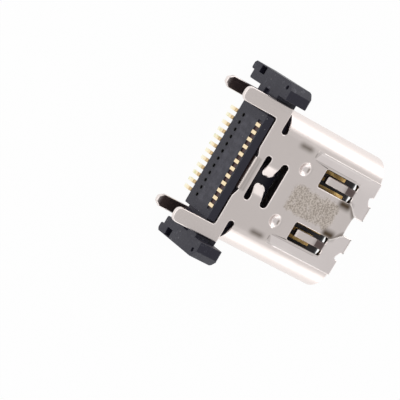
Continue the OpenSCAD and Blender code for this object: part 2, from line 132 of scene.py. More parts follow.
class SocketTongueSettings(bpy.types.PropertyGroup):
    edge_round: length("Edge round", "Radius on the edges of the tongue", 0.02)
    black: colour("Plastic", "Colour of the tongue", 0.010, 0.010, 0.013)
    # rubbed edge: rubbed wear and a painted highlight along the edges
    worn: colour("Rubbed edge", "Colour of the tongue where an edge is rubbed", 0.03, 0.03, 0.034)
    dust: colour("Dust", "Colour of the specks of dust", 0.5, 0.5, 0.5)
    grain: length("Grain", "Size of the moulded grain", 0.04)
    gloss: share("Roughness", "Roughness of the tongue", 0.36)
    plate: colour("Plate steel", "Colour of the stamped plate and pads", 0.50, 0.50, 0.52)
    # plate edge: a painted highlight along the sheared edges
    plate_edge_highlight: colour("Plate edge", "Colour of the sheared edges of the plate", 0.85, 0.85, 0.87)
    plate_gloss: share("Plate roughness", "Roughness of the plate where it is brightest", 0.22)


class SocketContactSettings(bpy.types.PropertyGroup):
    edge_round: length("Edge round", "Radius on the edges of a contact", 0.02)
    gold: colour("Gold", "Colour of the gold plate on the tongue", 0.84, 0.62, 0.26)
    foot: colour("Foot gold", "Colour of the thin gold on the feet", 0.98, 0.80, 0.52)
    # foot end: a painted highlight at the ends of the feet
    tip_highlight: colour("Foot end", "Colour of the pale end of a foot", 1.0, 0.95, 0.76)
    # this colour is a painted greenish tint of the highlights near the ends of the feet
    green: colour("Tarnish", "Colour of the green tarnish on a foot", 0.62, 0.66, 0.30)
    # this colour is painted shade in the bends and far inside the windows, and duller gold in clouds
    dull_and_shade: colour("Dull gold", "Colour in the bends and worn places", 0.33, 0.19, 0.06)
    # edge gold: a painted highlight along the edges
    bright: colour("Edge gold", "Colour of the burnished edges", 0.95, 0.84, 0.6)
    gloss: share("Roughness", "Roughness of the gold", 0.24)


class SocketStageSettings(bpy.types.PropertyGroup):
    floor_width: length("Floor width", "Width of the square floor", 1200.0)
    paper: colour("Floor", "Colour of the floor", 0.90, 0.90, 0.90)
    lift: share("Floor lift", "Share of the floor that shows as pure white to the eye", 0.96)
    horizon: share("Horizon", "Brightness of the surroundings at the horizon", 1.2, 4.0)
    overhead: share("Overhead", "Brightness of the surroundings overhead", 0.55, 4.0)
    back_lamp: share("Back lamp", "Brightness of the softbox behind the board side", 0.8, 4.0)
    left_lamp: share("Left lamp", "Brightness of the softbox on the -x side", 1.15, 4.0)
    right_lamp: share("Right lamp", "Brightness of the softbox on the +x side", 0.6, 4.0)
    lens: bpy.props.FloatProperty(
        name="Lens", description="Focal length of the camera in millimetres", default=219.6, min=1.0
    )
    camera_spot: bpy.props.FloatVectorProperty(
        name="Camera place",
        description="Where the camera stands",
        default=(-9.139 * MM, -76.907 * MM, 122.914 * MM),
        subtype="TRANSLATION",
        unit="LENGTH",
    )
    camera_turn: bpy.props.FloatVectorProperty(
        name="Camera turn",
        description="Which way the camera faces",
        default=(math.radians(-21.269), math.radians(-24.923), math.radians(123.813)),
        subtype="EULER",
        unit="ROTATION",
    )


# ---- shader node groups -----------------------------------------------------


def socket(group, name, direction, kind, default=None):
    made = group.interface.new_socket(name=name, in_out=direction, socket_type=kind)
    if default is not None:
        made.default_value = default


def put(tree, kind, **settings):
    node = tree.nodes.new(kind)
    for name, value in settings.items():
        setattr(node, name, value)
    return node


def feed(tree, place, value):
    """Gives an input a value, or links it to an output."""
    if isinstance(value, (int, float)):
        place.default_value = value
    else:
        tree.links.new(value, place)


def maths(tree, operation, *values, clamp=False):
    node = put(tree, "ShaderNodeMath", operation=operation, use_clamp=clamp)
    for place, value in zip(node.inputs, values):
        feed(tree, place, value)
    return node.outputs[0]


def times(tree, first, second):
    return maths(tree, "MULTIPLY", first, second)


def larger(tree, first, second):
    return maths(tree, "MAXIMUM", first, second)


def inverse(tree, mask):
    return maths(tree, "SUBTRACT", 1.0, mask)


def vectors(tree, operation, *values):
    node = put(tree, "ShaderNodeVectorMath", operation=operation)
    for place, value in zip(node.inputs, values):
        feed(tree, place, value)
    return node.outputs


def parts_of(tree, vector):
    node = put(tree, "ShaderNodeSeparateXYZ")
    tree.links.new(vector, node.inputs["Vector"])
    return node.outputs


def ramp(tree, value, low, high):
    """0 below low, 1 above high, and a smooth rise between."""
    node = put(tree, "ShaderNodeMapRange", interpolation_type="SMOOTHSTEP")
    tree.links.new(value, node.inputs["Value"])
    feed(tree, node.inputs["From Min"], low)
    feed(tree, node.inputs["From Max"], high)
    return node.outputs["Result"]


def new_group(name):
    tree = bpy.data.node_groups.new(name, "ShaderNodeTree")
    return tree, put(tree, "NodeGroupInput"), put(tree, "NodeGroupOutput")


# an edge mask: on the metals it carries a painted highlight, on the plastics a painted highlight with rubbed wear
def edge_sheen_and_wear_group():
    """How far a place is along a rounded or sharp edge, from the turn between the true and the rounded normal."""
    tree, given, out = new_group("edge sheen and wear")
    socket(tree, "Radius", "INPUT", "NodeSocketFloat", 0.1 * MM)
    socket(tree, "Gain", "INPUT", "NodeSocketFloat", 1.0)
    socket(tree, "Mask", "OUTPUT", "NodeSocketFloat")
    rounded = put(tree, "ShaderNodeBevel", samples=6)
    tree.links.new(given.outputs["Radius"], rounded.inputs["Radius"])
    own = put(tree, "ShaderNodeNewGeometry").outputs["Normal"]
    turn = vectors(tree, "DOT_PRODUCT", rounded.outputs["Normal"], own)["Value"]
    away = maths(tree, "SUBTRACT", 1.0, turn, clamp=True)
    tree.links.new(maths(tree, "MULTIPLY", away, given.outputs["Gain"], clamp=True), out.inputs["Mask"])
    return tree


def grain_group():
    """Fine moulded or plated grain, with a slow cloud over it."""
    tree, given, out = new_group("grain")
    socket(tree, "Vector", "INPUT", "NodeSocketVector")
    socket(tree, "Size", "INPUT", "NodeSocketFloat", 0.05 * MM)
    socket(tree, "Cloud Size", "INPUT", "NodeSocketFloat", 1.0 * MM)
    socket(tree, "Height", "OUTPUT", "NodeSocketFloat")
    socket(tree, "Cloud", "OUTPUT", "NodeSocketFloat")
    for name, size, detail in (("Height", "Size", 3.0), ("Cloud", "Cloud Size", 4.0)):
        noise = put(tree, "ShaderNodeTexNoise")
        noise.inputs["Detail"].default_value = detail
        noise.inputs["Roughness"].default_value = 0.6
        tree.links.new(given.outputs["Vector"], noise.inputs["Vector"])
        tree.links.new(maths(tree, "DIVIDE", 1.0, given.outputs[size]), noise.inputs["Scale"])
        tree.links.new(noise.outputs["Fac"], out.inputs[name])
    return tree


def dust_group():
    """Scattered bright specks of dust and lint."""
    tree, given, out = new_group("dust")
    socket(tree, "Vector", "INPUT", "NodeSocketVector")
    socket(tree, "Spacing", "INPUT", "NodeSocketFloat", 0.4 * MM)
    socket(tree, "Amount", "INPUT", "NodeSocketFloat", 0.3)
    socket(tree, "Mask", "OUTPUT", "NodeSocketFloat")
    cells = put(tree, "ShaderNodeTexVoronoi", feature="F1")
    tree.links.new(given.outputs["Vector"], cells.inputs["Vector"])
    tree.links.new(maths(tree, "DIVIDE", 1.0, given.outputs["Spacing"]), cells.inputs["Scale"])
    near = inverse(tree, ramp(tree, cells.outputs["Distance"], 0.04, 0.13))
    split = put(tree, "ShaderNodeSeparateColor")
    tree.links.new(cells.outputs["Color"], split.inputs["Color"])
    chosen = maths(tree, "LESS_THAN", split.outputs["Red"], given.outputs["Amount"])
    tree.links.new(times(tree, near, chosen), out.inputs["Mask"])
    return tree


def patch_group():
    """A soft-edged block round a centre, mirrored in x."""
    tree, given, out = new_group("soft patch")
    socket(tree, "Vector", "INPUT", "NodeSocketVector")
    socket(tree, "Centre", "INPUT", "NodeSocketVector")
    socket(tree, "Half Size", "INPUT", "NodeSocketVector")
    socket(tree, "Softness", "INPUT", "NodeSocketFloat", 0.1 * MM)
    socket(tree, "Mask", "OUTPUT", "NodeSocketFloat")
    place = parts_of(tree, given.outputs["Vector"])
    folded = put(tree, "ShaderNodeCombineXYZ")
    tree.links.new(maths(tree, "ABSOLUTE", place["X"]), folded.inputs["X"])
    for axis in "YZ":
        tree.links.new(place[axis], folded.inputs[axis])
    offset = vectors(tree, "SUBTRACT", folded.outputs["Vector"], given.outputs["Centre"])["Vector"]
    away = vectors(tree, "ABSOLUTE", offset)["Vector"]
    past = parts_of(tree, vectors(tree, "SUBTRACT", away, given.outputs["Half Size"])["Vector"])
    inside = 1.0
    soft = given.outputs["Softness"]
    back = times(tree, soft, -1.0)
    for axis in "XYZ":
        inside = times(tree, inside, inverse(tree, ramp(tree, past[axis], back, soft)))
    tree.links.new(inside, out.inputs["Mask"])
    return tree


GROUPS = {}


def build_groups():
    GROUPS.update(edge=edge_sheen_and_wear_group(), grain=grain_group(), dust=dust_group(), patch=patch_group())


# ---- parts of a material ----------------------------------------------------

# inputs and output of a Mix node that carry a colour
COLOUR_A, COLOUR_B, COLOUR_OUT = 6, 7, 2


def new_material(name):
    material = bpy.data.materials.new(name)
    material.use_nodes = True
    tree = material.node_tree
    shader = tree.nodes["Principled BSDF"]
    where = put(tree, "ShaderNodeTexCoord").outputs["Object"]
    return material, tree, shader, where


def place_group(tree, key, where=None, **values):
    node = put(tree, "ShaderNodeGroup", node_tree=GROUPS[key])
    if where is not None:
        tree.links.new(where, node.inputs["Vector"])
    for name, value in values.items():
        node.inputs[name.replace("_", " ")].default_value = value
    return node.outputs


def mix(tree, amount, first, second):
    """Blends two colours; each is an output or an (r, g, b)."""
    node = put(tree, "ShaderNodeMix", data_type="RGBA")
    tree.links.new(amount, node.inputs["Factor"])
    for place, value in ((COLOUR_A, first), (COLOUR_B, second)):
        if isinstance(value, bpy.types.NodeSocket):
            tree.links.new(value, node.inputs[place])
        else:
            node.inputs[place].default_value = (*value, 1.0)
    return node.outputs[COLOUR_OUT]


def darker(tone, amount):
    return [part * amount for part in tone]


def bump(tree, shader, height, depth):
    node = put(tree, "ShaderNodeBump")
    node.inputs["Distance"].default_value = depth
    node.inputs["Strength"].default_value = 1.0
    tree.links.new(height, node.inputs["Height"])
    tree.links.new(node.outputs["Normal"], shader.inputs["Normal"])


def masks(tree, where, softness, *spots):
    """The largest of several soft patches; each spot is a centre and a half size in millimetres."""
    total = None
    for centre, half in spots:
        one = place_group(
            tree, "patch", where, Centre=Vector(centre) * MM, Half_Size=Vector(half) * MM, Softness=softness * MM
        )["Mask"]
        total = one if total is None else larger(tree, total, one)
    return total


def face_lean(tree):
    """The x, y and z parts of the face's own normal, in the part's frame."""
    turn = put(tree, "ShaderNodeVectorTransform", vector_type="NORMAL", convert_from="WORLD", convert_to="OBJECT")
    tree.links.new(put(tree, "ShaderNodeNewGeometry").outputs["True Normal"], turn.inputs["Vector"])
    return parts_of(tree, turn.outputs["Vector"])


# ---- shell ------------------------------------------------------------------

# places on the shell: a centre and a half size in millimetres, mirrored in x
TOP = SHELL_TOP.z / MM
RIB_SIDE = (2.9, 7.0, TOP), (0.32, 2.55, 0.3)
RIB_EDGE = (3.1, 6.55, TOP - 0.1), (0.03, 2.15, 0.3)
RIB_LINE = (2.6, 6.2, TOP), (0.01, 1.7, 0.3)
RIB_END = (2.84, 4.42, TOP), (0.14, 0.03, 0.3)
RIB_TAIL = (2.98, 3.55, TOP), (0.12, 0.5, 0.4)
WING_RIM = (0.9, 8.72, TOP), (0.5, 0.4, 0.3)
DIMPLE = (1.79, 4.28, TOP - 0.1), (0.27, 0.27, 0.4)
DIMPLE_SHADE = (1.8, 4.56, TOP - 0.1), (0.15, 0.05, 0.4)
MATTE_PATCH = (0.08, 6.02, TOP), (0.82, 1.85, 0.3)
WINDOW_CORNER = (1.02, 8.06, TOP), (0.24, 0.46, 0.4)
TAB_BEND = (0.0, 1.0, 1.35), (1.1, 0.22, 0.3)
SPRING_ROOT = (1.85, 8.0, 1.1), (0.59, 0.235, 0.6)
SPRING_NECK = (1.85, 7.9, 1.1), (0.3, 0.2, 0.4)
BACK_LEGS = (4.11, -0.8, -1.4), (0.6, 0.95, 0.5)
CUT_OUTS = (0.0, 4.8, 1.36), (3.55, 3.6, 0.16)


def wing_edge(tree, where):
    """The raised edge of a wing, an S from the window's front corner to the recess, that takes a painted highlight,
    and the dip inside it, that takes painted shade.
    """
    place = parts_of(tree, where)
    run = ramp(tree, place["Y"], 8.28 * MM, 9.16 * MM)
    line = maths(tree, "MULTIPLY_ADD", run, -0.6 * MM, 1.23 * MM)
    past = maths(tree, "SUBTRACT", maths(tree, "ABSOLUTE", place["X"]), line)
    reach = masks(tree, where, 0.06, WING_RIM)
    off = maths(tree, "ABSOLUTE", maths(tree, "SUBTRACT", past, 0.04 * MM))
    ridge = inverse(tree, ramp(tree, off, 0.015 * MM, 0.055 * MM))
    hollow_shade = times(tree, ramp(tree, past, -0.4 * MM, -0.03 * MM), maths(tree, "LESS_THAN", past, 0.0))
    return times(tree, ridge, reach), times(tree, hollow_shade, reach)


def matte_patch(tree, where, sand):
    """The sanded patch, ragged at its edge."""
    block = masks(tree, where, 0.36, MATTE_PATCH)
    ragged = maths(tree, "MULTIPLY_ADD", maths(tree, "SUBTRACT", sand["Cloud"], 0.5), 1.6, block)
    return maths(tree, "MULTIPLY", ramp(tree, ragged, 0.2, 0.8), ramp(tree, block, 0.0, 0.35), clamp=True)


def painted_shade_spots(tree, where, hollow_shade):
    """Painted shade behind and along the ribs, at the window corners, in the wing hollows, in the dimples and across
    the bent tab, each with its own strength.
    """
    marks = (
        (masks(tree, where, 0.26, RIB_TAIL), 0.9),
        (masks(tree, where, 0.05, RIB_LINE, RIB_END), 0.55),
        (masks(tree, where, 0.24, WINDOW_CORNER), 1.0),
        (hollow_shade, 0.6),
        (masks(tree, where, 0.08, DIMPLE_SHADE), 0.8),
        (masks(tree, where, 0.08, TAB_BEND), 0.34),
    )
    painted_shade = 0.0
    for mark, strength in marks:
        painted_shade = larger(tree, painted_shade, times(tree, mark, strength))
    return painted_shade


def dark_places(tree, where, faces):
    """Painted shade and dark reflection where the steel sees only dark things: the back legs, the roots of the
    springs and the walls of the cut-outs.
    """
    legs = times(tree, masks(tree, where, 0.2, BACK_LEGS), ramp(tree, faces["Z"], 0.8, 0.95))
    walls = times(tree, masks(tree, where, 0.03, CUT_OUTS), inverse(tree, ramp(tree, faces["Z"], 0.25, 0.5)))
    walls = times(tree, walls, 0.9)
    neck = times(tree, masks(tree, where, 0.3, SPRING_NECK), 0.6)
    root = larger(tree, masks(tree, where, 0.04, SPRING_ROOT), neck)
    dark = larger(tree, times(tree, legs, 0.93), walls)
    return larger(tree, dark, times(tree, root, 0.9)), walls


def shell_metal(look):
    material, tree, shader, where = new_material("plated steel")
    grain = place_group(tree, "grain", where, Size=0.09 * MM, Cloud_Size=1.6 * MM)
    sand = place_group(tree, "grain", where, Size=0.105 * MM, Cloud_Size=0.5 * MM)
    edge = place_group(tree, "edge", Radius=0.11 * MM, Gain=2.4)["Mask"]
    faces = face_lean(tree)
    mottle = ramp(tree, grain["Cloud"], 0.3, 0.7)
    plain = mix(tree, times(tree, mottle, 0.35), look.steel, darker(look.steel, 0.9))

    # painted highlight: the wings lean up towards the mouth and catch more light, and so do the ribs and the
    # dimples, so all three are painted lighter
    upward = ramp(tree, faces["Z"], 0.9, 0.97)
    wing = times(tree, ramp(tree, times(tree, faces["Y"], -1.0), 0.015, 0.035), upward)
    side = times(tree, masks(tree, where, 0.04, RIB_SIDE), upward)
    plain = mix(tree, larger(tree, wing, side), plain, look.lit)
    dimple = masks(tree, where, 0.2, DIMPLE)
    plain = mix(tree, times(tree, dimple, 0.7), plain, look.lit)

    patch = matte_patch(tree, where, sand)
    grains = mix(tree, ramp(tree, sand["Height"], 0.35, 0.62), look.sand_dark, look.sand)
    plain = mix(tree, times(tree, patch, 0.92), plain, grains)

    ridge, hollow_shade = wing_edge(tree, where)
    # painted shade behind the ribs, at the window corners, in the wing hollows, in the dimples and on the bent tab
    painted_shade = painted_shade_spots(tree, where, hollow_shade)
    plain = mix(tree, painted_shade, plain, look.painted_shade)
    dark, walls = dark_places(tree, where, faces)
    # painted shade and dark reflection on the back legs, the spring roots and the cut-out walls
    plain = mix(tree, dark, plain, look.shade)
    # painted highlight along the wing ridge and the outer edge of each rib
    ridge = times(tree, ridge, upward)
    rib = masks(tree, where, 0.04, RIB_EDGE)
    plain = mix(tree, larger(tree, ridge, rib), plain, look.bright)
    # painted highlight along the rounded edges, kept off the painted shade and the cut-out walls
    highlighted = times(tree, edge, inverse(tree, larger(tree, painted_shade, walls)))
    tree.links.new(mix(tree, highlighted, plain, look.bright), shader.inputs["Base Color"])

    rough = maths(tree, "MULTIPLY_ADD", mottle, 0.08, look.gloss)
    rough = maths(tree, "MULTIPLY_ADD", patch, 0.25, rough)
    tree.links.new(rough, shader.inputs["Roughness"])
    raised = larger(tree, times(tree, ridge, 2.0), rib)
    relief = maths(tree, "MULTIPLY_ADD", times(tree, patch, sand["Height"]), 6.0, grain["Height"])
    relief = maths(tree, "MULTIPLY_ADD", raised, 4.5, relief)
    relief = maths(tree, "MULTIPLY_ADD", dimple, -24.0, relief)
    bump(tree, shader, relief, 0.002 * MM)
    shader.inputs["Metallic"].default_value = 1.0
    return material


# ---- plastics, plate and gold -----------------------------------------------

# places on the base: a centre and a half size in millimetres, mirrored in x
HOLE_ROW = (0.0, 0.0, -0.78), (2.9, 0.1, 0.4)
FACE_FIELD = (0.0, 0.0, 0.2), (2.95, 0.1, 0.75)
PAD_TRENCH = (0.0, 0.3, 1.2), (2.95, 0.26, 0.27)
EARS = (5.4, 1.0, 0.0), (0.7, 3.0, 3.0)
HALF_PITCH = 0.25 * MM
HOLE_REACH_X = 0.115 * MM
HOLE_REACH_Z = 0.18 * MM


def painted_hole_shade(tree, place, wave):
    """Painted shade: dark rounds at the mouths of the probe holes; wave rises from 0 to half a pitch at each
    contact.
    """
    across = maths(tree, "DIVIDE", maths(tree, "SUBTRACT", HALF_PITCH, wave), HOLE_REACH_X)
    down = maths(tree, "DIVIDE", maths(tree, "ADD", place["Z"], -HOLE_ROW[0][2] * MM), HOLE_REACH_Z)
    down = maths(tree, "POWER", maths(tree, "ABSOLUTE", down), 2.0)
    away = maths(tree, "ADD", maths(tree, "POWER", across, 2.0), down)
    return inverse(tree, ramp(tree, away, 0.7, 1.3))


def board_face(tree, where, look, base):
    """The board face of the base: painted shade round the mouths of the probe holes, pale streaks, and painted shade
    with a warm reflection of the gold between the front pads.
    """
    place = parts_of(tree, where)
    wave = maths(tree, "PINGPONG", place["X"], HALF_PITCH)
    holes = times(tree, painted_hole_shade(tree, place, wave), masks(tree, where, 0.05, HOLE_ROW))
    cloudy = place_group(tree, "grain", where, Size=0.12 * MM, Cloud_Size=0.5 * MM)["Cloud"]
    stripes = ramp(tree, wave, 0.05 * MM, 0.16 * MM)
    streaks = times(tree, maths(tree, "MULTIPLY_ADD", stripes, 0.35, ramp(tree, cloudy, 0.4, 0.62)), 0.6)
    streaks = times(tree, streaks, masks(tree, where, 0.1, FACE_FIELD))
    base = mix(tree, streaks, base, look.pale)
    # painted shade round the mouths of the probe holes
    base = mix(tree, holes, base, look.hole)
    # painted shade with a warm reflection of the gold between the front pads
    return mix(tree, times(tree, masks(tree, where, 0.03, PAD_TRENCH), 0.9), base, look.pad_gap_shade)


def ear_scuffs(tree, where):
    scuff = place_group(tree, "grain", where, Size=0.22 * MM, Cloud_Size=1.1 * MM)
    rubbed = times(tree, ramp(tree, scuff["Height"], 0.55, 0.72), ramp(tree, scuff["Cloud"], 0.45, 0.6))
    return times(tree, times(tree, rubbed, masks(tree, where, 0.1, EARS)), 0.8)


def plastic(name, look, is_base=False):
    material, tree, shader, where = new_material(name)
    grain = place_group(tree, "grain", where, Size=look.grain, Cloud_Size=0.7 * MM)
    edge = place_group(tree, "edge", Radius=0.06 * MM, Gain=1.6)["Mask"]
    dust = place_group(tree, "dust", where, Spacing=0.34 * MM, Amount=0.3)["Mask"]
    # painted highlight with rubbed wear along the edges, in clouds
    base = mix(tree, times(tree, edge, ramp(tree, grain["Cloud"], 0.35, 0.65)), look.black, look.worn)
    base = mix(tree, times(tree, dust, 0.45), base, look.dust)
    if is_base:
        base = board_face(tree, where, look, base)
        base = mix(tree, ear_scuffs(tree, where), base, look.worn)
    tree.links.new(base, shader.inputs["Base Color"])
    shader.inputs["Specular IOR Level"].default_value = 0.36
    rough = maths(tree, "MULTIPLY_ADD", grain["Cloud"], 0.16, look.gloss - 0.08)
    tree.links.new(rough, shader.inputs["Roughness"])
    bump(tree, shader, grain["Height"], 0.006 * MM)
    return material


def plate_metal(look):
    material, tree, shader, where = new_material("stamped plate")
    grain = place_group(tree, "grain", where, Size=0.06 * MM, Cloud_Size=0.9 * MM)
    edge = place_group(tree, "edge", Radius=0.04 * MM, Gain=2.0)["Mask"]
    base = mix(tree, grain["Cloud"], look.plate, darker(look.plate, 0.75))
    # painted highlight along the rounded edges
    tree.links.new(mix(tree, edge, base, look.plate_edge_highlight), shader.inputs["Base Color"])
    rough = maths(tree, "MULTIPLY_ADD", grain["Cloud"], 0.2, look.plate_gloss)
    tree.links.new(rough, shader.inputs["Roughness"])
    bump(tree, shader, grain["Height"], 0.002 * MM)
    shader.inputs["Metallic"].default_value = 1.0
    return material


def contact_gold(look):
    material, tree, shader, where = new_material("contact gold")
    grain = place_group(tree, "grain", where, Size=0.05 * MM, Cloud_Size=0.6 * MM)
    edge = place_group(tree, "edge", Radius=0.03 * MM, Gain=2.0)["Mask"]
    place = parts_of(tree, where)
    above_board = ramp(tree, place["Y"], 0.2 * MM, 0.9 * MM)
    back = times(tree, place["Z"], -1.0)

    # pale gold on the feet, with a painted highlight at their ends, palest there and with a painted greenish tint
    base = mix(tree, inverse(tree, above_board), look.gold, look.foot)
    base = mix(tree, ramp(tree, back, 1.9 * MM, 2.4 * MM), base, look.tip_highlight)
    # painted greenish tint of the highlights, in clouds near the ends of the feet
    green = times(tree, ramp(tree, grain["Cloud"], 0.52, 0.62), ramp(tree, back, 1.7 * MM, 1.9 * MM))
    base = mix(tree, times(tree, green, 0.6), base, look.green)

    # painted shade in the bends of the feet, a reflection of the dark base, and away from the mouth in the windows,
    # where the contacts lie far inside the shell; duller gold in clouds above the board
    past_bend = inverse(tree, ramp(tree, back, 1.82 * MM, 1.95 * MM))
    bend_shade = times(tree, ramp(tree, back, 1.5 * MM, 1.64 * MM), past_bend)
    dull_and_shade = larger(tree, times(tree, ramp(tree, grain["Cloud"], 0.42, 0.62), above_board), bend_shade)
    base = mix(tree, times(tree, dull_and_shade, 0.6), base, look.dull_and_shade)
    # painted shade on the contacts far inside the shell
    deep_shade = inverse(tree, ramp(tree, place["Y"], 6.4 * MM, 8.1 * MM))
    deep_shade = times(tree, ramp(tree, place["Y"], 4.6 * MM, 5.0 * MM), deep_shade)
    base = mix(tree, times(tree, deep_shade, 0.75), base, darker(look.dull_and_shade, 0.7))

    # painted highlight along the rounded edges
    tree.links.new(mix(tree, edge, base, look.bright), shader.inputs["Base Color"])
    tree.links.new(maths(tree, "MULTIPLY_ADD", dull_and_shade, 0.2, look.gloss), shader.inputs["Roughness"])
    bump(tree, shader, grain["Height"], 0.0015 * MM)
    shader.inputs["Metallic"].default_value = 1.0
    return material


# ---- pieces -----------------------------------------------------------------


def deselect():
    if bpy.context.object and bpy.context.object.mode != "OBJECT":
        bpy.ops.object.mode_set(mode="OBJECT")
    bpy.ops.object.select_all(action="DESELECT")


def activate(piece):
    deselect()
    piece.select_set(True)
    bpy.context.view_layer.objects.active = piece


def flats(shape):
    """Groups of joined faces that lie in one plane, each with the plane's normal, the largest first."""
    seen = set()
    groups = []
    for seed in sorted(shape.faces, key=lambda face: -face.calc_area()):
        if seed in seen:
            continue
        normal = seed.normal.copy()
        level = normal.dot(seed.verts[0].co)
        group = {seed}
        seen.add(seed)
        front = [seed]
        while front:
            face = front.pop()
            for edge in face.edges:
                for other in edge.link_faces:
                    flat = all(abs(normal.dot(vert.co) - level) < FLAT_WITHIN for vert in other.verts)
                    if flat and other not in seen:
                        seen.add(other)
                        group.add(other)
                        front.append(other)
        groups.append((normal, group))
    return groups


def rim_of(group):
    """The edges round a group of faces, and the edges inside it."""
    edges = {edge for face in group for edge in face.edges}
    inner = {edge for edge in edges if all(face in group for face in edge.link_faces)}
    return [edge for edge in edges if edge not in inner], list(inner)


def refill_flats(mesh):
    """Fills every flat again with even triangles, so that no sliver is left along its rim."""
    shape = bmesh.new()
    shape.from_mesh(mesh)
    for normal, group in flats(shape):
        if len(group) < REFILL_FROM:
            continue
        rim, inner = rim_of(group)
        bmesh.ops.delete(shape, geom=list(group), context="FACES_ONLY")
        bmesh.ops.delete(shape, geom=inner, context="EDGES")
        bmesh.ops.triangle_fill(shape, use_beauty=True, edges=rim, normal=normal)
    bmesh.ops.recalc_face_normals(shape, faces=shape.faces)
    shape.to_mesh(mesh)
    shape.free()


def copy_of(node, name):
    """A joined-up copy of a CAD node's mesh, as a piece of its own."""
    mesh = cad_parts[node].data.copy()
    mesh.name = name
    mesh.materials.clear()
    piece = bpy.data.objects.new(name, mesh)
    bpy.context.scene.collection.objects.link(piece)
    activate(piece)
    bpy.ops.object.mode_set(mode="EDIT")
    bpy.ops.mesh.select_all(action="SELECT")
    bpy.ops.mesh.remove_doubles(threshold=MERGE_WITHIN)
    bpy.ops.object.mode_set(mode="OBJECT")
    refill_flats(mesh)
    return piece


def room(point, along, across, rim, own):
    """Distance from a point on a rim edge straight across the flat to the far side of its rim."""
    nearest = math.inf
    for edge in rim:
        if edge is own:
            continue
        first, second = (vert.co - point for vert in edge.verts)
        here, there = first.dot(along), second.dot(along)
        if here * there > 0.0 or here == there:
            continue
        part = here / (here - there)
        reach = first.dot(across) * (1.0 - part) + second.dot(across) * part
        if reach > 0.00001 * MM:
            nearest = min(nearest, reach)
    return nearest


def tight_edges(shape, wanted, least):
    """The wanted edges beside a flat too narrow to take a round, such as a step that dies away."""
    tight = set()
    for normal, group in flats(shape):
        rim, inner = rim_of(group)
        for edge in rim:
            if edge not in wanted or edge in tight:
                continue
            start, end = (vert.co for vert in edge.verts)
            face = next(face for face in edge.link_faces if face in group)
            along = (end - start).normalized()
            across = normal.cross(along)
            if across.dot(face.calc_center_median() - start) < 0.0:
                across = -across
            for part in (0.08, 0.5, 0.92):
                if room(start.lerp(end, part), along, across, rim, edge) < least:
                    tight.add(edge)
                    break
    return tight


def even_normals(mesh):
    """Shades flats flat and rounds round: at each corner the largest flat within the angle leads."""
    shape = bmesh.new()
    shape.from_mesh(mesh)
    flat_of = {}
    for normal, group in flats(shape):
        weight = sum(face.calc_area() for face in group) ** 2
        for face in group:
            flat_of[face] = normal, weight
    least = math.cos(SMOOTH_BELOW)
    normals = []
    for face in shape.faces:
        own = flat_of[face][0]
        for corner in face.loops:
            near = {id(flat_of[other]): flat_of[other] for other in corner.vert.link_faces}
            lean = Vector()
            for normal, weight in near.values():
                if normal.dot(own) > least:
                    lean += normal * weight
            normals.append(lean.normalized() if lean.length > 0.0 else own)
    shape.free()
    mesh.normals_split_custom_set(normals)


def round_edges(piece, radius, segments):
    """Rounds the outward edges only, as a press or a mould does, and evens the shading of the flats."""
    activate(piece)
    bpy.ops.object.mode_set(mode="EDIT")
    bpy.ops.mesh.select_mode(type="EDGE")
    bpy.ops.mesh.select_all(action="DESELECT")
    shape = bmesh.from_edit_mesh(piece.data)
    outward = {edge for edge in shape.edges if edge.is_manifold and edge.is_convex}
    sharp = {edge for edge in outward if edge.calc_face_angle() > ROUND_ABOVE}
    for edge in sharp - tight_edges(shape, sharp, ROOM_NEEDED * radius):
        edge.select_set(True)
    bmesh.update_edit_mesh(piece.data)
    bpy.ops.mesh.bevel(offset=radius, segments=segments, profile=0.5, clamp_overlap=False, loop_slide=False)
    bpy.ops.object.mode_set(mode="OBJECT")
    bpy.ops.object.shade_smooth()
    even_normals(piece.data)


def dress(node, name, material, radius, segments=2):
    """A finished piece over a CAD node, on the part's one body."""
    piece = copy_of(node, name)
    round_edges(piece, radius, segments)
    piece.data.materials.append(material)
    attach(piece, BODY)
    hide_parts(node)


class SOCKET_OT_shell(bpy.types.Operator):
    """Dress the folded steel shell"""

    bl_idname = "socket.shell"
    bl_label = "Shell"

    def execute(self, context):
        look = context.scene.socket_shell
        dress("shell", "steel_shell", shell_metal(look), look.edge_round, 3)
        return {"FINISHED"}


class SOCKET_OT_base(bpy.types.Operator):
    """Dress the moulded base with its ears"""

    bl_idname = "socket.base"
    bl_label = "Base"

    def execute(self, context):
        look = context.scene.socket_plastic
        black = plastic("filled black plastic", look, is_base=True)
        dress("base_housing", "moulded_base", black, look.edge_round)
        return {"FINISHED"}


class SOCKET_OT_tongue(bpy.types.Operator):
    """Dress the tongue, its mid plate and its two ground pads"""

    bl_idname = "socket.tongue"
    bl_label = "Tongue"

    def execute(self, context):
        look = context.scene.socket_tongue
        black = plastic("tongue plastic", look)
        dress("tongue_core", "tongue", black, look.edge_round)
        steel = plate_metal(look)
        dress("mid_plate", "stamped_plate", steel, look.edge_round)
        for side in ("upper", "lower"):
            dress(f"ground_pad_{side}", f"ground_pad_{side}_steel", steel, look.edge_round)
        return {"FINISHED"}


class SOCKET_OT_contacts(bpy.types.Operator):
    """Dress the contacts of both rows"""

    bl_idname = "socket.contacts"
    bl_label = "Contacts"

    def execute(self, context):
        look = context.scene.socket_contacts
        gold = contact_gold(look)
        for node in CONTACTS:
            dress(node, node.replace("contact", "gold_contact"), gold, look.edge_round)
        return {"FINISHED"}


# ---- stage ------------------------------------------------------------------


SENSOR_WIDTH = 36.0  # millimetres, as the lens is


